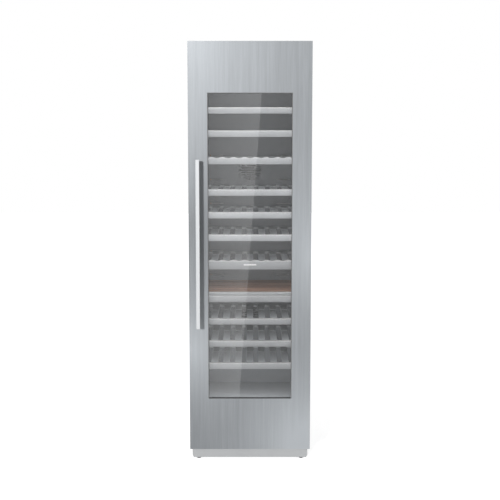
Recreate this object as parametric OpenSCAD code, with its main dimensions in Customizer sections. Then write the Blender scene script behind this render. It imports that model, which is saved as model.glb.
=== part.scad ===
// Built-in column wine cooler with a glass door, two temperature zones and eleven pull-out shelves.
// Frame: X to the right, Y to the back, Z up. The origin is on the floor, in the middle of the
// width and of the depth over the handle. The door faces -Y and is hinged on the right.

/* [Overall] */
// Width over the steel door panel
overall_w = 603; // [597:1:610]
// Height from the floor to the top of the door panel
overall_h = 2096; // [2092:1:2110]
// Depth from the door's steel face to the back sheet
body_depth = 610; // [600:1:640]

/* [Door] */
// Height of the door panel's lower edge above the floor
door_bottom = 72; // [70:1:76]
// Thickness of the folded steel door panel
panel_t = 19; // [17:1:22]
// Thickness of the steel sheet of the door panel
skin_t = 1.5; // [1.2:0.1:2]
// Thickness of the insulating frame behind the door panel
frame_t = 33; // [30:1:36]
// Visible width of the window
window_w = 415; // [380:1:420]
// Height of the window's lower edge
window_bottom = 333; // [320:1:360]
// Height of the window's upper edge
window_top = 1850; // [1800:1:1856]
// Thickness of each of the three glass panes
glass_t = 4; // [3:0.5:5]
// Width of the black seal that shows round the window
seal_show = 3.5; // [2:0.5:6]
// Thickness of the magnetic gasket round the door
gasket_t = 17.6; // [16:0.1:17.8]

/* [Handle] */
// Length of the bar handle
handle_len = 828; // [600:1:1000]
// Width of the bar
handle_w = 18; // [14:1:22]
// Depth of the bar, front to back
handle_d = 22; // [16:1:26]
// How far the front of the bar stands off the door
handle_reach = 62; // [50:1:70]
// Distance of the bar's middle from the middle of the door
handle_x = 254; // [245:1:265]
// Height of the middle of the bar
handle_z = 1114; // [1000:1:1200]
// Radius of the two handle posts
post_r = 7; // [5:0.5:8]

/* [Cabinet] */
// Inside width of the cabinet
inner_w = 496; // [490:1:500]
// Height of the cabinet floor inside
floor_z = 278; // [270:1:284]
// Height of the ceiling inside
ceiling_z = 1960; // [1950:1:1970]
// Thickness of the outer steel sheets
sheet_t = 1.5; // [1:0.1:2]
// Thickness of the moulded inner liner
liner_t = 1.5; // [1:0.1:2]

/* [Shelves] */
// Width of the sliding shelves' front trims
trim_w = 468; // [460:1:470]
// Thickness of the front trims, front to back
trim_t = 14; // [10:1:18]
// Number of bottle slots across a shelf
slot_count = 8; // [7:1:8]
// Width of a bottle slot
slot_w = 27; // [20:1:30]
// Distance from slot to slot
slot_pitch = 60.7; // [56:0.1:60.8]
// Distance from crest to crest on the display shelves' scalloped trims
crest_pitch = 55; // [50:1:60]
// Height of the crests on the display shelves' trims
crest_h = 5; // [3:0.5:8]

/* [Base] */
// Height of the bottom of the plinth above the floor
plinth_gap = 4.5; // [4.5:0.5:6]
// Radius of the pads of the levelling feet
foot_r = 11; // [9:0.5:12]
// Radius of the rear rollers
roller_r = 20; // [18:1:20]
// Radial running clearance of pins, studs and axles
running_gap = 0.05; // [0.02:0.01:0.1]

/* [Hidden] */
$fn = 64;

// Joint line left between separate pieces that butt together
seam = 0.1;

// Outline planes of the whole cooler
half_w = overall_w / 2;
back_y = (body_depth + handle_reach) / 2;
door_y = back_y - body_depth;
frame_y = door_y + panel_t;
frame_back_y = frame_y + frame_t;
case_front_y = frame_back_y + gasket_t + 0.4;
case_half = half_w - 3;
case_bottom = 80;
case_top = overall_h - 16;
half_in = inner_w / 2;
liner_back_y = back_y - 46;
foam_bottom = floor_z - 44;
back_sheet_z = foam_bottom + 42;

// Door glazing
bead_t = 2;
bead_cover = 7;
glass_half = window_w / 2 + 12.5;
glass_z = [window_bottom - 13, window_top + 13];
front_seal_t = 3;
outer_glass_y = door_y + skin_t + front_seal_t;
inner_glass_y = frame_back_y - bead_t - glass_t;
middle_glass_y = (outer_glass_y + inner_glass_y) / 2;
glass_play = 0.3;

// Hinge axis, pins and bushes
hinge_x = half_w - 15.5;
hinge_y = frame_back_y - 10;
hinge_plate_t = 5;
hinge_pin_r = 5;
bush_r = 7.5;
bush_h = 20;
frame_z = [door_bottom + 14, overall_h - 18];
lower_plate_z = frame_z[0] - 2 - hinge_plate_t;
hinge_screws_top = [for (i = [0:2]) [hinge_x - 11, case_front_y + 16 + 30 * i]];
hinge_screws_low = [for (i = [0:1]) [hinge_x - 7, case_front_y + 20 + 16 * i]];

// Shelves, from the top down: top and bottom of each front trim; the eighth is the serving board
shelf_y = case_front_y + 34;
tray_back_y = shelf_y + 410;
tray_t = 10;
tray_drop = 3;
tray_half = 230;
runner_half = 239.7;
rail_half = 240;
runner_h = 20;
rail_inset = 20;
rail_lap = 2;
rail_stop = 6;
board_t = 12;
trim_z = [
    [1751, 1782], [1636, 1669], [1501, 1536], [1344, 1376], [1230, 1262], [1116, 1149],
    [972, 1020], [840.5, 857], [690, 721], [575, 607], [459, 492]
];
divider_z = [805, 840];
slots_y = [shelf_y + trim_t + 10, tray_back_y - 18];
rib_y = shelf_y + 250;
rib_d = 6;
rib_h = 3;

// Rear air duct and its fans
duct_y = back_y - 86;
duct_t = 3;
fan_zs = [1453, 660];
evaporator_zs = [[1560, 1780], [380, 560]];
evaporator_half = 170;
riser = [-215, duct_y + 22];
riser_hole_r = 7;
evaporator_y = duct_y + 22;
tube_first = 25;
tube_step = 45;
coil_first = 18;
coil_step = 32;

// Base
chassis_z = 60;
chassis_t = 2;
lip_top = 130;
beam_z = lower_plate_z;
beam_d = 38;
plinth_top = beam_z - 1;
plinth_y = case_front_y + 4;
plinth_half = half_w - 7.5;
foot_x = 261;
foot_y = plinth_y + foot_r;
stud_r = 5;
roller_y = back_y - 51;
roller_w = 20;
axle_r = 3;
fork_t = 2.5;
fork_reach = 14;
condenser_fan_at = [140, -20, 150];
spindle_r = 2;
hub_floor = 2;
compressor_at = [-160, 190, chassis_z + chassis_t];
compressor_r = 66;
condenser_x = 50;
condenser_y = [-130, -75];
coil_top = 226;
tube_r = 4;
suction_z = 110;
discharge_z = 80;
liquid_z = 100;
inlet_at = [200, 200];
inlet_half = [16, 12];
inlet_wall = 4;
inlet_d = 26;
wall_hole_x = 60;
wall_hole_z = case_top + 9;
wall_hole_r = 3;
bracket_screw_y = back_y - 22;
screw_r = 3;
screw_clear = 0.2;

// Colours
steel = [0.66, 0.68, 0.70];
sheet_grey = [0.55, 0.57, 0.59];
liner_grey = [0.62, 0.63, 0.64];
dark = [0.12, 0.12, 0.13];
black = [0.04, 0.04, 0.04];
copper = [0.72, 0.45, 0.28];
fin_grey = [0.75, 0.76, 0.78];
foam_cream = [0.93, 0.87, 0.68];
wood_tone = [0.42, 0.33, 0.27];
white = [0.92, 0.92, 0.90];

// A box from its lowest to its highest corner
module block(low, high) translate(low) cube(high - low);

// A rectangular ring in the XZ plane, between two Y planes
module ring(y, half, z, half_inside, z_inside) {
    difference() {
        block([-half, y[0], z[0]], [half, y[1], z[1]]);
        block([-half_inside, y[0] - 1, z_inside[0]], [half_inside, y[1] + 1, z_inside[1]]);
    }
}

// A cylinder whose axis points to +Y, starting at the given point
module rod_y(at, r, l) translate(at) rotate([-90, 0, 0]) cylinder(r = r, h = l);

// A cylinder whose axis points to +X, starting at the given point
module rod_x(at, r, l) translate(at) rotate([0, 90, 0]) cylinder(r = r, h = l);

// A copper pipe through a list of points, with round elbows
module pipe(points, r) {
    for (i = [0:len(points) - 2]) {
        step = points[i + 1] - points[i];
        run = norm(step);
        translate(points[i])
            rotate([0, acos(step[2] / run), atan2(step[1], step[0])])
                cylinder(r = r, h = run);
    }
    for (i = [1:1:len(points) - 2]) translate(points[i]) sphere(r = r);
}

module outer_casing() {
    color(sheet_grey) {
        for (side = [-1, 1])
            translate([side * (case_half - sheet_t / 2) - sheet_t / 2, 0, 0])
                block([0, case_front_y, case_bottom], [sheet_t, back_y - sheet_t, case_top]);
        difference() {
            block([-case_half + sheet_t + seam, case_front_y, case_top - sheet_t],
                  [case_half - sheet_t - seam, back_y - sheet_t - seam, case_top]);
            for (at = hinge_screws_top) translate([at[0], at[1], case_top - 10])
                cylinder(r = screw_r + screw_clear, h = 20);
        }
        block([-case_half, back_y - sheet_t + seam, back_sheet_z],
              [case_half, back_y, case_top]);
    }
}

module insulation_foam() {
    foam_half = case_half - sheet_t;
    foam_front = case_front_y + liner_t;
    foam_back = back_y - sheet_t;
    wall = half_in + liner_t;
    inside = wall - seam;
    low = floor_z - liner_t;
    high = ceiling_z + liner_t;
    color(foam_cream) {
        for (side = [0, 1]) mirror([side, 0, 0])
            block([wall, foam_front, foam_bottom], [foam_half, foam_back, case_top - sheet_t]);
        block([-inside, foam_front, high], [inside, foam_back, case_top - sheet_t]);
        difference() {
            block([-inside, foam_front, foam_bottom], [inside, foam_back, low]);
            translate([riser[0], riser[1], foam_bottom - 1]) cylinder(r = riser_hole_r, h = 60);
        }
        block([-inside, liner_back_y + liner_t, low + seam], [inside, foam_back, high - seam]);
    }
}

module inner_liner() {
    wall = half_in + liner_t;
    color(liner_grey) difference() {
        union() {
            block([-wall, case_front_y, floor_z - liner_t],
                  [wall, liner_back_y + liner_t, ceiling_z + liner_t]);
            block([-case_half + sheet_t, case_front_y, foam_bottom],
                  [case_half - sheet_t, case_front_y + liner_t, case_top - sheet_t]);
        }
        block([-half_in, case_front_y - 1, floor_z], [half_in, liner_back_y, ceiling_z]);
        translate([riser[0], riser[1], floor_z - 10]) cylinder(r = riser_hole_r, h = 20);
    }
}

// Folded steel tray that carries the machine, with the roller forks welded to it
module base_chassis() {
    front = plinth_y + 2;
    rear = back_y - 3;
    lip_x = case_half - sheet_t;
    step_z = case_bottom + 2;
    plate_top = chassis_z + chassis_t;
    color(sheet_grey) {
        difference() {
            union() {
                block([-plinth_half, front, chassis_z], [plinth_half, rear, plate_top]);
                block([4 - plinth_half, front, plate_top + seam],
                      [plinth_half - 4, front + beam_d, beam_z]);
            }
            for (side = [-1, 1]) translate([side * foot_x, foot_y, chassis_z - 1])
                cylinder(r = stud_r + running_gap, h = 40);
            for (at = hinge_screws_low) translate([at[0], at[1], chassis_z - 1])
                cylinder(r = screw_r + screw_clear, h = 40);
        }
        for (side = [0, 1]) mirror([side, 0, 0]) {
            block([plinth_half - chassis_t, front, plate_top + seam],
                  [plinth_half, rear, step_z + chassis_t]);
            block([plinth_half + seam, front, step_z], [lip_x, rear, lip_top]);
            roller_fork();
        }
    }
}

// Two cheeks and the axle between them
module roller_fork() {
    inner = roller_w / 2 + 0.3;
    for (x = [foot_x - inner - fork_t, foot_x + inner])
        block([x, roller_y - fork_reach, roller_r - 10],
              [x + fork_t, roller_y + fork_reach, chassis_z - seam]);
    rod_x([foot_x - inner + seam, roller_y, roller_r], axle_r, 2 * (inner - seam));
}

module base_plinth() {
    corner = [6, 15];
    sheet = 2;
    return_d = 70;
    face = [
        [corner[0] - plinth_half, plinth_gap], [plinth_half - corner[0], plinth_gap],
        [plinth_half, plinth_gap + corner[1]], [plinth_half, plinth_top],
        [-plinth_half, plinth_top], [-plinth_half, plinth_gap + corner[1]]
    ];
    color([0.72, 0.73, 0.74]) {
        translate([0, plinth_y + sheet, 0]) rotate([90, 0, 0])
            linear_extrude(height = sheet) polygon(face);
        for (side = [0, 1]) mirror([side, 0, 0])
            block([plinth_half - sheet, plinth_y + sheet + seam, plinth_gap + corner[1]],
                  [plinth_half, plinth_y + return_d, chassis_z]);
    }
}

module vented_sheet(y, z, vents) {
    vent = [140, 5];
    pitch = 2.6 * vent[1];
    half = plinth_half - 4;
    difference() {
        block([-half, y, z[0]], [half, y + sheet_t, z[1]]);
        for (i = [0:vents - 1]) for (x = [-200, 0, 200])
            translate([x - vent[0] / 2, y - 1, z[0] + 18 + i * pitch])
                cube([vent[0], sheet_t + 2, vent[1]]);
    }
}

module service_covers() {
    bottom = lower_plate_z + 9;
    play = 0.3;
    color(sheet_grey) {
        vented_sheet(case_front_y, [bottom, foam_bottom - 2], 8);
        difference() {
            vented_sheet(back_y - sheet_t, [bottom, back_sheet_z - 2], 4);
            block([inlet_at[0] - inlet_half[0] - play, back_y - 5,
                   inlet_at[1] - inlet_half[1] - play],
                  [inlet_at[0] + inlet_half[0] + play, back_y + 1,
                   inlet_at[1] + inlet_half[1] + play]);
        }
    }
}

// Hermetic compressor: welded shell on a plate with four rubber mounts, and its terminal box
module compressor() {
    color(dark) translate(compressor_at) {
        for (x = [-62, 62]) for (y = [-52, 52]) translate([x, y, 0]) cylinder(r = 10, h = 11);
        block([-75, -65, 10], [75, 65, 13]);
        translate([0, 0, 12]) cylinder(r = compressor_r, h = 84);
        translate([0, 0, 96]) cylinder(r1 = compressor_r, r2 = 44, h = 26);
        block([compressor_r - 6, -20, 40], [compressor_r + 16, 20, 90]);
    }
}

// Finned coil in front of its fan
module condenser() {
    fins = 20;
    pitch = 9;
    z = [chassis_z + chassis_t, coil_top];
    y = condenser_y;
    color(fin_grey) {
        for (i = [0:fins - 1]) let (x = condenser_x + i * pitch)
            block([x, y[0], z[0]], [x + 1.2, y[1], z[1]]);
        for (row = [0:1]) for (level = [0:4])
            rod_x([condenser_x - 10, y[0] + 15 + row * 25, z[0] + coil_first + level * coil_step],
                  tube_r, (fins - 1) * pitch + 20);
    }
}

// The fans' motors, each with the spindle that its fan turns on
module fan_motors() {
    stand_h = condenser_fan_at[2] - chassis_z - chassis_t;
    stand_half = 16;
    strap = [70, 4, 6];
    color(dark) {
        for (z = fan_zs) {
            rod_y([0, evaporator_y, z], 20, liner_back_y - evaporator_y);
            rod_y([0, duct_y + 9, z], spindle_r, 14);
            block([-strap[0], liner_back_y - strap[1], z - strap[2]],
                  [strap[0], liner_back_y, z + strap[2]]);
        }
        translate(condenser_fan_at) {
            rod_y([0, 0, 0], spindle_r, 17);
            rod_y([0, 16, 0], 24, 30);
            block([-stand_half, 40, -stand_h], [stand_half, 44, 0]);
            block([-stand_half, 40, -stand_h], [stand_half, 76, 3 - stand_h]);
        }
    }
}

// Open tray over the machine that the condensate runs into
module drain_tray() {
    low = [-250, 120, 208];
    high = [-70, 300, 226];
    wall = 3;
    color(dark) {
        difference() {
            block(low, [high[0], high[1], low[2] + wall]);
            translate([riser[0], riser[1], low[2] - 1]) cylinder(r = riser_hole_r, h = wall + 2);
        }
        for (x = [low[0], high[0] - wall])
            block([x, low[1], low[2] + wall + seam], [x + wall, high[1], high[2]]);
        for (y = [low[1], high[1] - wall])
            block([low[0] + wall + seam, y, low[2] + wall + seam],
                  [high[0] - wall - seam, y + wall, high[2]]);
    }
}

// Suction line up to the evaporators, discharge line to the condenser and liquid line back
module refrigerant_lines() {
    r = tube_r;
    gap = 0.3;
    shell = compressor_r + gap;
    x = compressor_at[0];
    y = compressor_at[1];
    evaporator_end = -evaporator_half - 8 - gap;
    upper = evaporator_zs[0][0] + tube_first + 3 * tube_step;
    lower = evaporator_zs[1][0] + tube_first + 3 * tube_step;
    coil_x = condenser_x - 10 - gap;
    rows = [condenser_y[0] + 15, condenser_y[0] + 40];
    coil_z = chassis_z + chassis_t + coil_first + 4 * coil_step;
    left = -270;
    front = -20;
    color(copper) {
        pipe([[x, y + shell, suction_z], [x, riser[1], suction_z],
              [riser[0], riser[1], suction_z], [riser[0], riser[1], upper],
              [evaporator_end, riser[1], upper]], r);
        pipe([[riser[0], riser[1], lower], [evaporator_end, riser[1], lower]], r);
        pipe([[x + shell, y, discharge_z], [-front, y, discharge_z],
              [-front, rows[1], discharge_z], [coil_x, rows[1], discharge_z]], r);
        pipe([[coil_x, rows[0], coil_z], [front, rows[0], coil_z], [front, rows[0], liquid_z],
              [left, rows[0], liquid_z], [left, riser[1], liquid_z],
              [riser[0] - r - gap, riser[1], liquid_z]], r);
    }
}

module rear_air_panel() {
    slots = 12;
    grille_r = 60;
    bar_pitch = 12;
    slit_h = 6;
    color(liner_grey) difference() {
        block([-half_in, duct_y, floor_z], [half_in, duct_y + duct_t, ceiling_z]);
        for (z = fan_zs) for (i = [-4:4])
            let (reach = sqrt(grille_r * grille_r - pow(bar_pitch * i, 2)))
                translate([-reach, duct_y - 1, z + bar_pitch * i - slit_h / 2])
                    cube([2 * reach, duct_t + 2, slit_h]);
        for (x = [-215, 145]) for (i = [0:slots - 1])
            translate([x, duct_y - 1, floor_z + 82 + i * 130]) cube([70, duct_t + 2, slit_h]);
    }
}

// One finned coil behind the air panel in each zone
module evaporators() {
    fins = 16;
    fin_t = 1.2;
    fin_d = 30;
    half = evaporator_half;
    color(fin_grey) for (z = evaporator_zs) {
        for (i = [0:fins]) let (x = -half + i * 2 * half / fins)
            block([x - fin_t / 2, evaporator_y - fin_d / 2, z[0]],
                  [x + fin_t / 2, evaporator_y + fin_d / 2, z[1]]);
        for (level = [0:3])
            rod_x([-half - 8, evaporator_y, z[0] + tube_first + level * tube_step],
                  tube_r, 2 * half + 16);
    }
}

module zone_divider() {
    color(liner_grey)
        block([-half_in, shelf_y + trim_t, divider_z[0]], [half_in, duct_y, divider_z[1] - 1]);
}

// A front trim: a bar with a bevelled upper front edge
module trim_bar(half, z) {
    bevel = 2;
    profile = [
        [shelf_y, z[0]], [shelf_y + trim_t, z[0]], [shelf_y + trim_t, z[1]],
        [shelf_y + bevel, z[1]], [shelf_y, z[1] - bevel]
    ];
    translate([-half, 0, 0]) rotate([90, 0, 90]) linear_extrude(height = 2 * half)
        polygon(profile);
}

// A display shelf's taller trim, whose upper edge rises and falls between the bottles
module scalloped_bar(half, z) {
    steps = 72;
    crest = function (x) z[1] - crest_h / 2 * (1 + cos(360 * x / crest_pitch));
    top = [for (i = [0:steps]) let (x = half - i * 2 * half / steps) [x, crest(x)]];
    translate([0, shelf_y + trim_t, 0]) rotate([90, 0, 0]) linear_extrude(height = trim_t)
        polygon(concat([[-half, z[0]], [half, z[0]]], top));
}

// The raised strip along the foot of the upper display shelf's trim
module foot_lip(half, low) {
    lip = [3, 6];
    block([-half, shelf_y - lip[0], low], [half, shelf_y - seam, low + lip[1]]);
}

module divider_trim() {
    color(steel) trim_bar(half_in, divider_z);
}

module led_strips() {
    color(white) {
        for (side = [0, 1]) mirror([side, 0, 0])
            block([half_in - 2.5, case_front_y + 6, floor_z + 22],
                  [half_in, case_front_y + 18, ceiling_z - 40]);
        block([-220, shelf_y + 30, ceiling_z - 4], [220, shelf_y + 50, ceiling_z]);
    }
}

module control_panel() {
    color(dark) difference() {
        block([-120, case_front_y + 6, ceiling_z - 28], [120, case_front_y + 28, ceiling_z]);
        block([-50, case_front_y + 5, ceiling_z - 24], [50, case_front_y + 7, ceiling_z - 6]);
    }
}

module control_box() {
    x = [-220, -60];
    foot = [8, 40, 2];
    color(sheet_grey) {
        block([x[0], 150, case_top], [x[1], 290, case_top + 12]);
        for (left = [x[0] - foot[0] - seam, x[1] + seam])
            translate([left, 200, case_top]) cube(foot);
    }
}

// The top of the tray of each shelf
function tray_top(i) = trim_z[i][1] - (i == 2 || i == 6 ? crest_h : 0) - tray_drop;

module shelf_rails() {
    color(steel) for (i = [0:len(trim_z) - 1]) for (side = [0, 1]) mirror([side, 0, 0])
        let (runner = i == 7 ? board_t : runner_h)
            block([rail_half, shelf_y + rail_inset, tray_top(i) - runner - rail_lap],
                  [half_in, tray_back_y + rail_stop, tray_top(i) + rail_lap]);
}

module hinge_plate() {
    back = case_front_y + 80;
    inner = hinge_x - 18;
    outer = plinth_half - 3;
    linear_extrude(height = hinge_plate_t) {
        polygon([[inner, back], [outer, back], [outer, case_front_y - 8],
                 [hinge_x + 9, hinge_y - 8], [hinge_x - 9, hinge_y - 8],
                 [inner, case_front_y - 8]]);
        translate([hinge_x, hinge_y]) circle(r = 12);
    }
}

module hinge_brackets() {
    pin_h = bush_h + 1;
    color(steel) {
        difference() {
            translate([0, 0, case_top]) hinge_plate();
            for (at = hinge_screws_top) translate([at[0], at[1], case_top - 1])
                cylinder(r = screw_r + screw_clear, h = 10);
        }
        translate([hinge_x, hinge_y, case_top - pin_h]) cylinder(r = hinge_pin_r, h = pin_h + 1);
        difference() {
            translate([0, 0, lower_plate_z]) intersection() {
                hinge_plate();
                block([0, -back_y, 0], [half_w, case_front_y + 48, hinge_plate_t]);
            }
            for (at = hinge_screws_low) translate([at[0], at[1], lower_plate_z - 1])
                cylinder(r = screw_r + screw_clear, h = 10);
        }
        translate([hinge_x, hinge_y, lower_plate_z + hinge_plate_t - 1])
            cylinder(r = hinge_pin_r, h = pin_h + 1);
    }
}

// Steel angle on the top edge of the back, drilled for two wall screws
module anti_tip_bracket() {
    half = 80;
    sheet = 2;
    color(steel) difference() {
        union() {
            block([-half, back_y - 40, case_top], [half, back_y, case_top + sheet]);
            block([-half, back_y - sheet, case_top], [half, back_y, overall_h - 0.5]);
        }
        for (x = [-wall_hole_x, wall_hole_x]) {
            rod_y([x, back_y - 10, wall_hole_z], wall_hole_r, 20);
            translate([x, bracket_screw_y, case_top - 1])
                cylinder(r = screw_r + screw_clear, h = 5);
        }
    }
}

// Three-pin appliance inlet: four walls round a recess, its floor and its pins
module mains_inlet() {
    y = [back_y - inlet_d, back_y];
    floor_y = y[0] + 5;
    half = inlet_half;
    hole = [half[0] - inlet_wall, half[1] - inlet_wall];
    pin = [1, 3];
    translate([inlet_at[0], 0, inlet_at[1]]) {
        color(black) {
            block([-half[0], y[0], -half[1]], [half[0], floor_y, half[1]]);
            for (side = [0, 1]) {
                mirror([side, 0, 0])
                    block([hole[0], floor_y + seam, -half[1]], [half[0], y[1], half[1]]);
                mirror([0, 0, side])
                    block([seam - hole[0], floor_y + seam, hole[1]],
                          [hole[0] - seam, y[1], half[1]]);
            }
        }
        color(steel) for (x = [-7, 0, 7])
            block([x - pin[0], floor_y + seam, -pin[1]], [x + pin[0], y[1] - 8, pin[1]]);
    }
}

module pan_screw(r, l) {
    translate([0, 0, -l]) cylinder(r = r, h = l);
    cylinder(r = 2 * r, h = 3);
}

module cabinet_screws() {
    color(sheet_grey) {
        for (at = hinge_screws_top) translate([at[0], at[1], case_top + hinge_plate_t])
            pan_screw(screw_r, hinge_plate_t + sheet_t);
        for (at = hinge_screws_low) translate([at[0], at[1], lower_plate_z + hinge_plate_t])
            pan_screw(screw_r, hinge_plate_t + 14);
        for (x = [-wall_hole_x, wall_hole_x]) translate([x, bracket_screw_y, case_top + 2])
            pan_screw(screw_r, 2);
    }
}

// Levelling foot: pad, hexagon for a spanner and threaded stud
module front_foot(side) {
    pad_h = 4;
    nut = [8, 8.5];
    stud_l = 118;
    color(black) translate([side * foot_x, foot_y, 0]) {
        cylinder(r = foot_r, h = pad_h);
        translate([0, 0, pad_h - 0.5]) cylinder(r = nut[0], h = nut[1], $fn = 6);
        translate([0, 0, pad_h - 0.5]) cylinder(r = stud_r, h = stud_l);
    }
}

module rear_roller(side) {
    color(dark) difference() {
        rod_x([side * foot_x - roller_w / 2, roller_y, roller_r], roller_r, roller_w);
        rod_x([side * foot_x - roller_w, roller_y, roller_r], axle_r + running_gap, 2 * roller_w);
    }
}

// Axial fan on the Y axis: a hub with pitched blades and a blind bore
module fan(at, tip_r, blades) {
    hub_r = 14;
    hub_h = 12;
    blade_w = 22;
    blade_t = 1.6;
    blade_pitch = 28;
    color(dark) translate(at) rotate([-90, 0, 0]) difference() {
        union() {
            cylinder(r = hub_r, h = hub_h);
            for (i = [0:blades - 1]) rotate([0, 0, i * 360 / blades])
                translate([(hub_r + tip_r) / 2 - 2, 0, hub_h / 2]) rotate([blade_pitch, 0, 0])
                    cube([tip_r - hub_r + 4, blade_w, blade_t], center = true);
        }
        translate([0, 0, hub_floor]) cylinder(r = spindle_r + running_gap, h = hub_h);
    }
}

module evaporator_fan(z) fan([0, duct_y + 6, z], 52, 7);

module condenser_fan() fan(condenser_fan_at - [0, hub_floor + 1, 0], 66, 5);

// Folded steel pan: the face with the window, and the returns all round
module door_panel() {
    fold_y = door_y + skin_t + seam;
    edge = half_w - skin_t;
    color(steel) {
        ring([door_y, door_y + skin_t], half_w, [door_bottom, overall_h],
             window_w / 2, [window_bottom, window_top]);
        for (side = [0, 1]) mirror([side, 0, 0])
            block([edge, fold_y, door_bottom], [half_w, frame_y, overall_h]);
        for (z = [door_bottom, overall_h - skin_t])
            block([seam - edge, fold_y, z], [edge - seam, frame_y, z + skin_t]);
    }
}

// Rigid board that fills the pan round the glass
module door_core() {
    y = [door_y + skin_t, frame_y];
    edge = half_w - skin_t;
    z = [door_bottom + skin_t, overall_h - skin_t];
    hole = glass_half + glass_play;
    hole_z = [glass_z[0] - glass_play, glass_z[1] + glass_play];
    color([0.85, 0.83, 0.76]) {
        for (side = [0, 1]) mirror([side, 0, 0])
            block([hole, y[0], z[0]], [edge, y[1], z[1]]);
        block([-hole + seam, y[0], z[0]], [hole - seam, y[1], hole_z[0]]);
        block([-hole + seam, y[0], hole_z[1]], [hole - seam, y[1], z[1]]);
    }
}

module door_frame() {
    hole = glass_half + glass_play;
    hole_z = [glass_z[0] - glass_play, glass_z[1] + glass_play];
    half = half_w - 5.5;
    bead_y = frame_back_y - bead_t;
    color(liner_grey) difference() {
        union() {
            ring([frame_y, bead_y], half, frame_z, hole, hole_z);
            ring([bead_y, frame_back_y], half, frame_z, glass_half - bead_cover,
                 [glass_z[0] + bead_cover, glass_z[1] - bead_cover]);
        }
        for (z = [frame_z[0] - 1, frame_z[1] - bush_h])
            translate([hinge_x, hinge_y, z]) cylinder(r = bush_r, h = bush_h + 1);
    }
}

module glass_panes() {
    color([0.55, 0.62, 0.62, 0.35]) for (y = [outer_glass_y, middle_glass_y, inner_glass_y])
        block([-glass_half, y, glass_z[0]], [glass_half, y + glass_t, glass_z[1]]);
}

module glazing_seals() {
    half = glass_half - 1;
    z = [glass_z[0] + 1, glass_z[1] - 1];
    bar_w = 7;
    show = window_w / 2 - seal_show;
    sill_show = 1;
    color(black) {
        ring([door_y + skin_t, outer_glass_y], half, z, show,
             [window_bottom + sill_show, window_top - seal_show]);
        for (y = [[outer_glass_y + glass_t, middle_glass_y], [middle_glass_y + glass_t, inner_glass_y]])
            ring(y, half, z, half - bar_w, [z[0] + bar_w, z[1] - bar_w]);
    }
}

module door_gasket() {
    inset = half_in + 4;
    width = 20;
    color([0.35, 0.36, 0.37])
        ring([frame_back_y, frame_back_y + gasket_t], inset + width,
             [floor_z - 4 - width, ceiling_z + 4 + width], inset, [floor_z - 4, ceiling_z + 4]);
}

module door_handle() {
    edge = 1;
    w = handle_w / 2;
    d = handle_d / 2;
    outline = [
        [-w + edge, -d], [w - edge, -d], [w, -d + edge], [w, d - edge],
        [w - edge, d], [-w + edge, d], [-w, d - edge], [-w, -d + edge]
    ];
    post_inset = 46;
    bar_y = door_y - handle_reach;
    color(steel) {
        translate([-handle_x, bar_y + d, handle_z - handle_len / 2])
            linear_extrude(height = handle_len) polygon(outline);
        for (end = [-1, 1])
            rod_y([-handle_x, bar_y + handle_d + seam,
                   handle_z + end * (handle_len / 2 - post_inset)],
                  post_r, handle_reach - handle_d - seam);
    }
}

module hinge_bushes() {
    bush_gap_r = hinge_pin_r + running_gap;
    color(white) for (z = [frame_z[0], frame_z[1] - bush_h]) translate([hinge_x, hinge_y, z])
        difference() {
            cylinder(r = bush_r, h = bush_h);
            translate([0, 0, -1]) cylinder(r = bush_gap_r, h = bush_h + 2);
        }
}

// One bottle slot, square at the front and round at the back
module slot_cut(x, z) {
    r = slot_w / 2;
    cut_h = tray_t + rib_h + 2;
    translate([x, 0, z - 1]) {
        block([-r, slots_y[0], 0], [r, slots_y[1] - r, cut_h]);
        translate([0, slots_y[1] - r, 0]) cylinder(r = r, h = cut_h);
    }
}

module shelf_runners(top, low) {
    for (side = [0, 1]) mirror([side, 0, 0])
        block([tray_half + seam, shelf_y + rail_inset, low], [runner_half, tray_back_y, top]);
}

module shelf_tray(i) {
    top = tray_top(i);
    first = -(slot_count - 1) / 2;
    color([0.42, 0.43, 0.45]) {
        difference() {
            union() {
                block([-tray_half, shelf_y + trim_t, top - tray_t], [tray_half, tray_back_y, top]);
                block([-tray_half, rib_y, top - rib_h], [tray_half, rib_y + rib_d, top + rib_h]);
            }
            for (k = [0:slot_count - 1]) slot_cut((first + k) * slot_pitch, top - tray_t);
        }
        shelf_runners(top, top - runner_h);
    }
}

module shelf_front(i) {
    half = trim_w / 2;
    color(steel)
        if (i == 2 || i == 6) scalloped_bar(half, trim_z[i]);
        else trim_bar(half, trim_z[i]);
    color(steel) if (i == 2) foot_lip(half, trim_z[i][0]);
}

module serving_board() {
    top = tray_top(7);
    color(wood_tone) {
        block([-tray_half, shelf_y + trim_t, top - board_t], [tray_half, tray_back_y, top]);
        shelf_runners(top, top - board_t);
    }
}

module serving_board_trim() {
    color(steel) trim_bar(trim_w / 2, trim_z[7]);
}

outer_casing();
insulation_foam();
inner_liner();
base_chassis();
base_plinth();
service_covers();
compressor();
condenser();
fan_motors();
drain_tray();
refrigerant_lines();
rear_air_panel();
evaporators();
zone_divider();
divider_trim();
led_strips();
control_panel();
control_box();
shelf_rails();
hinge_brackets();
anti_tip_bracket();
mains_inlet();
cabinet_screws();
front_foot(-1);  // front_foot_left
front_foot(1);  // front_foot_right
rear_roller(-1);  // rear_roller_left
rear_roller(1);  // rear_roller_right
evaporator_fan(fan_zs[0]);  // evaporator_fan_upper
evaporator_fan(fan_zs[1]);  // evaporator_fan_lower
condenser_fan();
door_panel();
door_core();
door_frame();
glass_panes();
glazing_seals();
door_gasket();
door_handle();
hinge_bushes();
for (i = [0, 1, 2, 3, 4, 5, 6, 8, 9, 10]) {
    shelf_tray(i);
    shelf_front(i);
}
serving_board();
serving_board_trim();
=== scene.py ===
"""Looks of the built-in wine cooler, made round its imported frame. Lengths are in metres."""

import math

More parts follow.
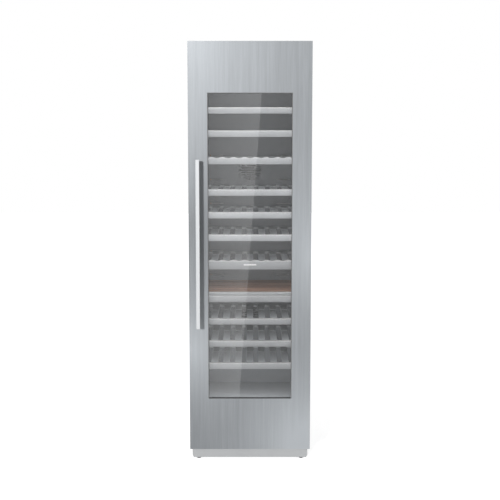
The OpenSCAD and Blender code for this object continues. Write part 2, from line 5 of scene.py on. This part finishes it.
import bmesh
import bpy
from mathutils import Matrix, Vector


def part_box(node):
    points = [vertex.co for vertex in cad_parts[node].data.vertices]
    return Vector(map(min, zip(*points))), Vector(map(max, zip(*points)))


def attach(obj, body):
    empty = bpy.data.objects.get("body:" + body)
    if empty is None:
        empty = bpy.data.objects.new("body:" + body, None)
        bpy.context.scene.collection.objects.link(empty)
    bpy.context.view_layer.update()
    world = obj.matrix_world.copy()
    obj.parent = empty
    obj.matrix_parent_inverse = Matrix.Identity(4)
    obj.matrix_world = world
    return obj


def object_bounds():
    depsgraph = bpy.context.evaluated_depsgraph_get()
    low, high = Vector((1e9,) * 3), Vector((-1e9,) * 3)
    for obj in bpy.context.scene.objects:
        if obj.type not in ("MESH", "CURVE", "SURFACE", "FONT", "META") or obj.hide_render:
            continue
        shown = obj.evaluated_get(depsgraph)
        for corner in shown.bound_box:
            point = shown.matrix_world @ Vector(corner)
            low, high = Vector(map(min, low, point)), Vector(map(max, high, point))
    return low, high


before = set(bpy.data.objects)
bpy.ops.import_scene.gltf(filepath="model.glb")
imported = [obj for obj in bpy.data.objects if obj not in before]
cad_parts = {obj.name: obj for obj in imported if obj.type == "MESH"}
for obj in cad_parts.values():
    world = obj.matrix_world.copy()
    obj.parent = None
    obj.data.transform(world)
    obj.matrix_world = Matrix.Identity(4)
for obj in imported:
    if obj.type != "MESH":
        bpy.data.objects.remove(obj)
CAD_BOX = [list(corner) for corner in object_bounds()]
LOW, HIGH = (Vector(corner) for corner in CAD_BOX)
MIDDLE = (LOW + HIGH) / 2
DOOR_LOW, DOOR_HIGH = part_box("door_panel")
SLIDING = (1, 2, 3, 4, 5, 6, 7, 9, 10, 11)

# Camera: eye height, distance from the door's face, lens and framing
EYE_HEIGHT = 1.68
EYE_DISTANCE = 4.7
TILT_DEG = 6.49
LENS = 69.3
SHIFT_Y = -0.025

# Light: the white backdrop, the softer room light, the key light, and the cabinet's own lights
BACKDROP = 1.0
ROOM = 0.40
FLOOR_REACH = 14.0
FLOOR_EMISSION = 0.66
KEY_STRENGTH = 2.4
KEY_AZIMUTH_DEG = 17
KEY_HEIGHT_DEG = 12
CABINET_POWER = 2.6
TRIM_POWER = 0.65
UPPER_TRIM_POWER = 0.25
FLOOR_POWER = 0.42

# The card that the glass reflects: its distance in front of the door, behind the camera, and its
# glow, which rises on the left towards a straight edge. The mirrored edge runs between two places
# on the door's face.
CARD_DISTANCE = 8.0
CARD_HALF_WIDTH = 0.9
CARD_GLOW_WIDTH = 0.95
CARD_MARGIN = 0.06
CARD_RIGHT = 0.32
CARD_LEFT_FAR = 0.42
CARD_LEFT_NEAR = 0.68
EDGE_TOP = (0.057, 1.846)
EDGE_BOTTOM = (-0.0545, 0.329)


# ---------------------------------------------------------------- node helpers
class Nodes:
    """A material's node tree, with short calls to add and join nodes."""

    def __init__(self, name):
        self.material = bpy.data.materials.new(name)
        self.material.use_nodes = True
        self.tree = self.material.node_tree
        self.shader = self.tree.nodes["Principled BSDF"]
        self.output = self.tree.nodes["Material Output"]

    def add(self, kind, inputs=None, **settings):
        node = self.tree.nodes.new(kind)
        for key, value in settings.items():
            setattr(node, key, value)
        for key, value in (inputs or {}).items():
            self.put(node, key, value)
        return node

    def put(self, node, key, value):
        if isinstance(value, bpy.types.NodeSocket):
            self.tree.links.new(value, node.inputs[key])
        else:
            node.inputs[key].default_value = value

    def set(self, **values):
        for key, value in values.items():
            self.put(self.shader, key.replace("_", " "), value)

    def place(self, scale=(1, 1, 1), move=(0, 0, 0)):
        """Object coordinates, moved and then scaled."""
        coords = self.add("ShaderNodeTexCoord").outputs["Object"]
        moved = self.add("ShaderNodeVectorMath", {0: coords, 1: move}, operation="SUBTRACT")
        return self.add("ShaderNodeVectorMath", {0: moved.outputs[0], 1: scale},
                        operation="MULTIPLY").outputs[0]

    def noise(self, scale, detail=3.0, roughness=0.5, move=(0, 0, 0), distortion=0.0):
        node = self.add("ShaderNodeTexNoise", {
            "Vector": self.place(scale, move), "Scale": 1.0, "Detail": detail,
            "Roughness": roughness, "Distortion": distortion})
        return node.outputs["Fac"]

    def math(self, operation, a, b=0.0, clamp=False):
        return self.add("ShaderNodeMath", {0: a, 1: b}, operation=operation,
                        use_clamp=clamp).outputs[0]

    def span(self, value, low, high, new_low, new_high):
        """The value mapped from one range to another, held inside it."""
        return self.add("ShaderNodeMapRange", {
            "Value": value, "From Min": low, "From Max": high,
            "To Min": new_low, "To Max": new_high}).outputs["Result"]

    def mix(self, factor, a, b):
        node = self.add("ShaderNodeMix", data_type="RGBA")
        self.put(node, 0, factor)
        self.put(node, 6, a)
        self.put(node, 7, b)
        return node.outputs[2]

    def bump(self, height, strength, distance):
        node = self.add("ShaderNodeBump", {
            "Height": height, "Strength": strength, "Distance": distance})
        self.put(self.shader, "Normal", node.outputs[0])


def grey(value, blue=0.0):
    return (value, value * (1 + blue * 0.5), value * (1 + blue), 1.0)


# ---------------------------------------------------------------- materials
def brushed_steel(name, dark, light, roughness, metallic, grain, streak=0.5, reflection_patches=()):
    """Brushed steel: fine grain along one axis, faint broad streaks, and soft patches of painted
    reflection that make the steel lighter or darker in places.
    """
    n = Nodes(name)
    fine = n.noise([1800.0 if axis == 0 else 9.0 for axis in grain], detail=2.0)
    broad = n.noise([55.0 if axis == 0 else 1.2 for axis in grain], detail=4.0, roughness=0.6)
    tone = n.span(broad, 0.3, 0.7, 0.5 - streak / 2, 0.5 + streak / 2)
    tone = n.math("ADD", tone, n.span(fine, 0.3, 0.7, -0.06, 0.06))
    # Painted reflection: each patch adds lighter or darker tone in place of reflected light.
    for (x, z), (reach_x, reach_z), amount in reflection_patches:
        painted_patch = n.add("ShaderNodeTexGradient", {
            "Vector": n.place((1 / reach_x, 0, 1 / reach_z), (x, 0, z))},
            gradient_type="QUADRATIC_SPHERE")
        tone = n.math("ADD", tone, n.math("MULTIPLY", painted_patch.outputs["Fac"], amount))
    tone = n.math("ADD", tone, 0.0, clamp=True)
    n.set(Base_Color=n.mix(tone, dark, light), Metallic=metallic)
    n.set(Roughness=n.span(fine, 0.2, 0.8, roughness - 0.05, roughness + 0.05))
    n.bump(fine, 0.08, 0.0004)
    return n.material


def trim_steel():
    """Brushed trims with painted shading: darker downwards, with a painted highlight along the upper
    edge.
    """
    n = Nodes("trim_steel")
    fine = n.noise((9.0, 1800.0, 1800.0), detail=2.0)
    height = n.add("ShaderNodeSeparateXYZ", {
        0: n.add("ShaderNodeTexCoord").outputs["Generated"]}).outputs["Z"]
    # Painted shade: the trim's colour darkens downwards, away from the light from above.
    body = n.mix(n.span(height, 0.0, 0.80, 0.0, 1.0), grey(0.50, 0.05), grey(0.70, 0.04))
    # Painted highlight: a near-white band along the upper edge.
    body = n.mix(n.span(height, 0.80, 0.88, 0.0, 1.0), body, grey(0.98, 0.0))
    body = n.mix(n.span(fine, 0.3, 0.7, 0.0, 0.12), body, grey(0.35, 0.02))
    n.set(Base_Color=body, Metallic=1.0)
    n.set(Roughness=n.span(fine, 0.2, 0.8, 0.30, 0.40))
    n.bump(fine, 0.05, 0.0004)
    return n.material


def painted(name, colour, roughness, grain=900.0, strength=0.12):
    """Powder paint with a slight orange peel and faint dust."""
    n = Nodes(name)
    peel = n.noise((grain, grain, grain), detail=2.0)
    dust = n.noise((7.0, 7.0, 3.0), detail=5.0, roughness=0.6)
    darker = tuple(c * 0.93 for c in colour[:3]) + (1.0,)
    n.set(Base_Color=n.mix(n.span(dust, 0.3, 0.7, 0.0, 1.0), darker, colour))
    n.set(Roughness=n.span(dust, 0.3, 0.7, roughness - 0.04, roughness + 0.06))
    n.bump(peel, strength, 0.0003)
    return n.material


def moulded(name, colour, roughness):
    """Moulded plastic: fine spark texture and slight unevenness of gloss."""
    n = Nodes(name)
    spark = n.noise((1400.0, 1400.0, 1400.0), detail=1.0)
    cloud = n.noise((9.0, 9.0, 9.0), detail=3.0)
    lighter = tuple(min(c * 1.08, 1.0) for c in colour[:3]) + (1.0,)
    n.set(Base_Color=n.mix(cloud, colour, lighter))
    n.set(Roughness=n.span(cloud, 0.3, 0.7, roughness - 0.05, roughness + 0.05))
    n.bump(spark, 0.10, 0.0002)
    return n.material


def rubber(name, colour):
    n = Nodes(name)
    dust = n.noise((160.0, 160.0, 160.0), detail=6.0, roughness=0.7)
    lighter = tuple(c * 1.5 + 0.01 for c in colour[:3]) + (1.0,)
    n.set(Base_Color=n.mix(n.span(dust, 0.45, 0.75, 0.0, 1.0), colour, lighter))
    n.set(Roughness=n.span(dust, 0.3, 0.7, 0.6, 0.85))
    n.bump(dust, 0.15, 0.0002)
    return n.material


def bare_metal(name, colour, roughness, scale=220.0):
    """Uncoated metal with faint mottling, for copper, zinc and aluminium."""
    n = Nodes(name)
    mottle = n.noise((scale, scale, scale), detail=5.0, roughness=0.65)
    darker = tuple(c * 0.78 for c in colour[:3]) + (1.0,)
    n.set(Base_Color=n.mix(mottle, darker, colour), Metallic=1.0)
    n.set(Roughness=n.span(mottle, 0.3, 0.7, roughness - 0.08, roughness + 0.1))
    return n.material


def walnut():
    """Oiled walnut with its grain along X."""
    n = Nodes("walnut")
    wave = n.noise((1.6, 26.0, 26.0), detail=5.0, roughness=0.6, distortion=0.6)
    pores = n.noise((22.0, 700.0, 700.0), detail=2.0)
    figure = n.span(wave, 0.36, 0.64, 0.0, 1.0)
    wood = n.mix(figure, (0.200, 0.098, 0.064, 1.0), (0.540, 0.330, 0.230, 1.0))
    wood = n.mix(n.span(pores, 0.56, 0.70, 0.0, 0.55), wood, (0.05, 0.03, 0.02, 1.0))
    n.set(Base_Color=wood, Roughness=n.span(wave, 0.3, 0.7, 0.45, 0.60), Specular_IOR_Level=0.15)
    n.bump(pores, 0.25, 0.0003)
    return n.material


def glass():
    """Clear float glass with a trace of dust and of unevenness in its polish."""
    n = Nodes("glass")
    dust = n.noise((30.0, 30.0, 30.0), detail=6.0, roughness=0.7)
    n.set(Base_Color=n.mix(n.span(dust, 0.5, 0.8, 0.0, 1.0), grey(1.0), grey(0.97)))
    n.set(Roughness=0.0, Transmission_Weight=1.0, IOR=1.5)
    n.bump(dust, 0.01, 0.0001)
    return n.material


def glowing(name, colour, strength):
    n = Nodes(name)
    haze = n.noise((60.0, 60.0, 60.0), detail=2.0)
    n.set(Base_Color=n.mix(haze, colour, grey(0.9)), Roughness=0.4)
    n.set(Emission_Color=colour, Emission_Strength=strength)
    return n.material


def foam():
    n = Nodes("foam")
    cells = n.noise((320.0, 320.0, 320.0), detail=4.0)
    n.set(Base_Color=n.mix(cells, (0.70, 0.60, 0.36, 1.0), (0.86, 0.78, 0.56, 1.0)))
    n.set(Roughness=0.9)
    n.bump(cells, 0.5, 0.001)
    return n.material


VERTICAL = (0, 0, 1)
# Painted reflections on the door's steel, lighter or darker patches: place on the door, reach, and
# amount
DOOR_PAINTED_REFLECTIONS = (
    ((DOOR_LOW.x, DOOR_HIGH.z), (0.70, 0.90), 0.13),
    ((DOOR_HIGH.x, MIDDLE.z), (0.40, 0.80), 0.40),
    ((DOOR_HIGH.x, DOOR_LOW.z), (0.60, 0.75), 0.75),
    ((DOOR_LOW.x, 1.20), (0.40, 0.45), -0.14),
    ((DOOR_LOW.x, 0.58), (0.40, 0.52), 0.48),
)


def make_materials():
    return {
        "door_steel": brushed_steel("door_steel", grey(0.04, 0.12), grey(0.40, 0.11), 0.40, 0.50,
                                    VERTICAL, 0.10, DOOR_PAINTED_REFLECTIONS),
        "trim_steel": trim_steel(),
        "handle_steel": brushed_steel("handle_steel", grey(0.58, 0.05), grey(0.68, 0.05), 0.24,
                                      0.35, VERTICAL, 0.3),
        "casing": painted("casing", grey(0.36, 0.03), 0.42),
        "plinth": painted("plinth", grey(0.33, 0.04), 0.5),
        "foam": foam(),
        "liner": moulded("liner", grey(0.42, 0.05), 0.5),
        "rear_panel": moulded("rear_panel", grey(0.19, 0.09), 0.55),
        "frame": moulded("frame", grey(0.16, 0.02), 0.5),
        "enamel": painted("enamel", grey(0.015), 0.25),
        "fins": bare_metal("fins", grey(0.75), 0.35),
        "dark_plastic": moulded("dark_plastic", grey(0.03), 0.5),
        "copper": bare_metal("copper", (0.72, 0.36, 0.20, 1.0), 0.3),
        "zinc": bare_metal("zinc", grey(0.62, 0.03), 0.32),
        "black_rubber": rubber("black_rubber", grey(0.012)),
        "grey_rubber": rubber("grey_rubber", grey(0.07)),
        "seal_rubber": rubber("seal_rubber", grey(0.12)),
        "white_plastic": moulded("white_plastic", grey(0.75), 0.4),
        "tray": painted("tray", grey(0.40, 0.06), 0.45),
        "walnut": walnut(),
        # Painted glow: the badge plate emits faint light though it is no lamp.
        "badge": glowing("badge", grey(0.95), 0.30),
        "glass": glass(),
        "led": glowing("led", (1.0, 0.98, 0.95, 1.0), 4.0),
    }


NODE_LOOKS = {
    "door_steel": ["door_panel"],
    "trim_steel": ["divider_trim", "serving_board_trim"] + [f"shelf_front_{i}" for i in SLIDING],
    "handle_steel": ["door_handle"],
    "casing": ["outer_casing", "base_chassis", "service_covers", "control_box"],
    "plinth": ["base_plinth"],
    "foam": ["insulation_foam"],
    "liner": ["inner_liner", "zone_divider"],
    "rear_panel": ["rear_air_panel"],
    "frame": ["door_frame", "door_core"],
    "enamel": ["compressor"],
    "fins": ["condenser", "evaporators"],
    "dark_plastic": ["fan_motors", "drain_tray", "control_panel", "evaporator_fan_upper",
                     "evaporator_fan_lower", "condenser_fan", "mains_inlet"],
    "copper": ["refrigerant_lines"],
    "zinc": ["shelf_rails", "hinge_brackets", "anti_tip_bracket", "cabinet_screws"],
    "black_rubber": ["front_foot_left", "front_foot_right", "rear_roller_left",
                     "rear_roller_right"],
    "seal_rubber": ["glazing_seals"],
    "grey_rubber": ["door_gasket"],
    "white_plastic": ["hinge_bushes"],
    "tray": [f"shelf_tray_{i}" for i in SLIDING],
    "walnut": ["serving_board"],
    "glass": ["glass_panes"],
    "led": ["led_strips"],
}

BEVELS = {
    "door_panel": 0.0012, "door_handle": 0.0008, "base_plinth": 0.0008,
    "outer_casing": 0.0005, "control_box": 0.001, "control_panel": 0.0015,
    "divider_trim": 0.0006, "serving_board": 0.0015, "serving_board_trim": 0.0006,
    "door_frame": 0.002, "hinge_brackets": 0.0006, "anti_tip_bracket": 0.0004,
}


def dress_nodes(looks):
    for look, nodes in NODE_LOOKS.items():
        for name in nodes:
            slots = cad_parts[name].material_slots
            if not slots:
                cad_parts[name].data.materials.append(looks[look])
            for slot in slots:
                slot.material = looks[look]
    bevels = dict(BEVELS)
    bevels.update({f"shelf_front_{i}": 0.0006 for i in SLIDING})
    bevels.update({f"shelf_tray_{i}": 0.0012 for i in SLIDING})
    for name, width in bevels.items():
        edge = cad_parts[name].modifiers.new("soft_edges", "BEVEL")
        edge.width = width
        edge.segments = 2
        edge.limit_method = "ANGLE"
        edge.angle_limit = math.radians(40)


# ---------------------------------------------------------------- added pieces
def box_piece(name, low, high, material, body, bevel=0.0005):
    """A small block with rounded edges."""
    shape = bmesh.new()
    bmesh.ops.create_cube(shape, size=1.0)
    size = Vector(high) - Vector(low)
    centre = (Vector(high) + Vector(low)) / 2
    for v in shape.verts:
        v.co = Vector((v.co.x * size.x, v.co.y * size.y, v.co.z * size.z)) + centre
    bmesh.ops.bevel(shape, geom=shape.edges[:], offset=bevel, segments=3, profile=0.5,
                    affect="EDGES")
    mesh = bpy.data.meshes.new(name)
    shape.to_mesh(mesh)
    shape.free()
    piece = bpy.data.objects.new(name, mesh)
    bpy.context.collection.objects.link(piece)
    mesh.materials.append(material)
    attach(piece, body)
    return piece


def add_badge(looks):
    """The plain plate in the middle of the lower display shelf's trim; its material gives it a painted
    glow.
    """
    low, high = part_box("shelf_front_7")
    z = low.z + (high.z - low.z) * 0.5
    box_piece("badge_plate", (-0.032, low.y - 0.0008, z - 0.004), (0.032, low.y + 0.0005, z + 0.004),
              looks["badge"], "shelf_7", bevel=0.0004)


# ---------------------------------------------------------------- stage
def sheet(name, corners, material):
    """A flat four-cornered sheet of the stage."""
    mesh = bpy.data.meshes.new(name)
    mesh.from_pydata(corners, [], [(0, 1, 2, 3)])
    mesh.materials.append(material)
    flat = bpy.data.objects.new(name, mesh)
    bpy.context.collection.objects.link(flat)
    return flat


def card_point(x, z):
    """Where the eye sees a point of the card mirrored at a place on the door's face."""
    reach = (EYE_DISTANCE + CARD_DISTANCE) / EYE_DISTANCE
    return x * reach, EYE_HEIGHT + (z - EYE_HEIGHT) * reach


def card_material():
    """Even light on the right; on the left a glow that rises towards a straight slanted edge."""
    n = Nodes("card")
    n.tree.nodes.remove(n.shader)
    top_x, top_z = card_point(*EDGE_TOP)
    bottom_x, bottom_z = card_point(*EDGE_BOTTOM)
    slope = (top_x - bottom_x) / (top_z - bottom_z)
    place = n.add("ShaderNodeSeparateXYZ", {0: n.add("ShaderNodeTexCoord").outputs["Object"]})
    x, z = place.outputs["X"], place.outputs["Z"]
    edge = n.math("ADD", n.math("MULTIPLY", z, slope), top_x - slope * top_z)
    left_of_edge = n.math("SUBTRACT", edge, x)
    glow = n.span(left_of_edge, 0.0, CARD_GLOW_WIDTH, CARD_LEFT_NEAR, CARD_LEFT_FAR)
    strength = n.add("ShaderNodeMix", data_type="FLOAT")
    n.put(strength, 0, n.math("GREATER_THAN", left_of_edge, 0.0))
    n.put(strength, 2, CARD_RIGHT)
    n.put(strength, 3, glow)
    light = n.add("ShaderNodeEmission", {"Color": (1.0, 1.0, 1.0, 1.0),
                                         "Strength": strength.outputs[0]})
    n.tree.links.new(light.outputs[0], n.output.inputs[0])
    return n.material


def build_card():
    """A card just large enough to fill the window's reflection."""
    y = DOOR_LOW.y - CARD_DISTANCE
    pane_low, pane_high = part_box("glass_panes")
    low = card_point(0, pane_low.z - CARD_MARGIN)[1]
    high = card_point(0, pane_high.z + CARD_MARGIN)[1]
    card = sheet("reflection_card", [(-CARD_HALF_WIDTH, y, low), (CARD_HALF_WIDTH, y, low),
                                     (CARD_HALF_WIDTH, y, high), (-CARD_HALF_WIDTH, y, high)],
                 card_material())
    card.visible_camera = False
    card.visible_diffuse = False
    card.visible_shadow = False


def floor_material():
    n = Nodes("floor")
    speck = n.noise((40.0, 40.0, 40.0), detail=3.0)
    n.set(Base_Color=n.mix(speck, grey(0.90), grey(0.93)), Roughness=0.9)
    n.set(Emission_Color=grey(1.0), Emission_Strength=FLOOR_EMISSION)
    return n.material


def build_floor():
    reach = FLOOR_REACH
    floor = sheet("floor", [(-reach, -reach, 0), (reach, -reach, 0), (reach, reach, 0),
                            (-reach, reach, 0)], floor_material())
    floor.visible_glossy = False
    floor.visible_transmission = False


def build_world():
    """White behind everything; the light that falls on the object is softer."""
    world = bpy.data.worlds.new("studio")
    world.use_nodes = True
    nodes, links = world.node_tree.nodes, world.node_tree.links
    path = nodes.new("ShaderNodeLightPath")
    strength = nodes.new("ShaderNodeMapRange")
    strength.inputs["To Min"].default_value = ROOM
    strength.inputs["To Max"].default_value = BACKDROP
    links.new(path.outputs["Is Camera Ray"], strength.inputs["Value"])
    links.new(strength.outputs["Result"], nodes["Background"].inputs["Strength"])
    nodes["Background"].inputs["Color"].default_value = (1, 1, 1, 1)
    bpy.context.scene.world = world


def area_light(name, place, target, size, power, glossy=True):
    lamp = bpy.data.lights.new(name, "AREA")
    lamp.shape = "RECTANGLE"
    lamp.size, lamp.size_y = size
    lamp.energy = power
    lamp.color = (0.96, 0.98, 1.0)
    holder = bpy.data.objects.new(name, lamp)
    bpy.context.collection.objects.link(holder)
    holder.location = place
    holder.rotation_euler = (Vector(target) - Vector(place)).to_track_quat("-Z", "Y").to_euler()
    holder.visible_camera = False
    holder.visible_glossy = glossy
    return holder


def key_light():
    """Soft light from the front left; the handle's shade falls to the right of the bar."""
    lamp = bpy.data.lights.new("key", "SUN")
    lamp.energy = KEY_STRENGTH
    lamp.angle = math.radians(4)
    holder = bpy.data.objects.new("key", lamp)
    bpy.context.collection.objects.link(holder)
    holder.rotation_euler = (math.radians(90 - KEY_HEIGHT_DEG), 0, math.radians(-KEY_AZIMUTH_DEG))


def build_lights():
    key_light()
    low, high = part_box("led_strips")
    floor, ceiling = low.z, high.z
    middle = (floor + ceiling) / 2
    wide = high.x - low.x
    # The cabinet's own light: one soft sheet behind the trims and a fainter one on their faces
    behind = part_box("shelf_front_1")[1].y + 0.006
    area_light("cabinet_glow", (0, behind, middle), (0, 1, middle), (wide - 0.04, ceiling - floor),
               CABINET_POWER)
    before = low.y + 0.004
    area_light("trim_glow", (0, before, middle), (0, 1, middle), (wide - 0.06, ceiling - floor - 0.02),
               TRIM_POWER)
    area_light("upper_trim_glow", (0, before, middle + 0.35), (0, 1, middle + 0.35),
               (wide - 0.06, ceiling - floor - 0.8), UPPER_TRIM_POWER)
    area_light("floor_glow", (0, behind, floor + 0.05), (0, behind + 0.05, floor - 0.05),
               (wide - 0.04, 0.02), FLOOR_POWER)


def build_camera():
    data = bpy.data.cameras.new("camera")
    data.sensor_width = 36.0
    data.lens = LENS
    data.shift_y = SHIFT_Y
    data.clip_end = 100.0
    camera = bpy.data.objects.new("camera", data)
    bpy.context.collection.objects.link(camera)
    camera.location = (MIDDLE.x, DOOR_LOW.y - EYE_DISTANCE, EYE_HEIGHT)
    camera.rotation_euler = (math.radians(90 - TILT_DEG), 0, 0)
    bpy.context.scene.camera = camera


def set_colour_management():
    view = bpy.context.scene.view_settings
    view.view_transform = "Standard"
    view.look = "None"
    view.exposure = 0.0
    view.gamma = 1.0


looks = make_materials()
dress_nodes(looks)
add_badge(looks)
build_card()
build_floor()
build_world()
build_lights()
build_camera()
set_colour_management()
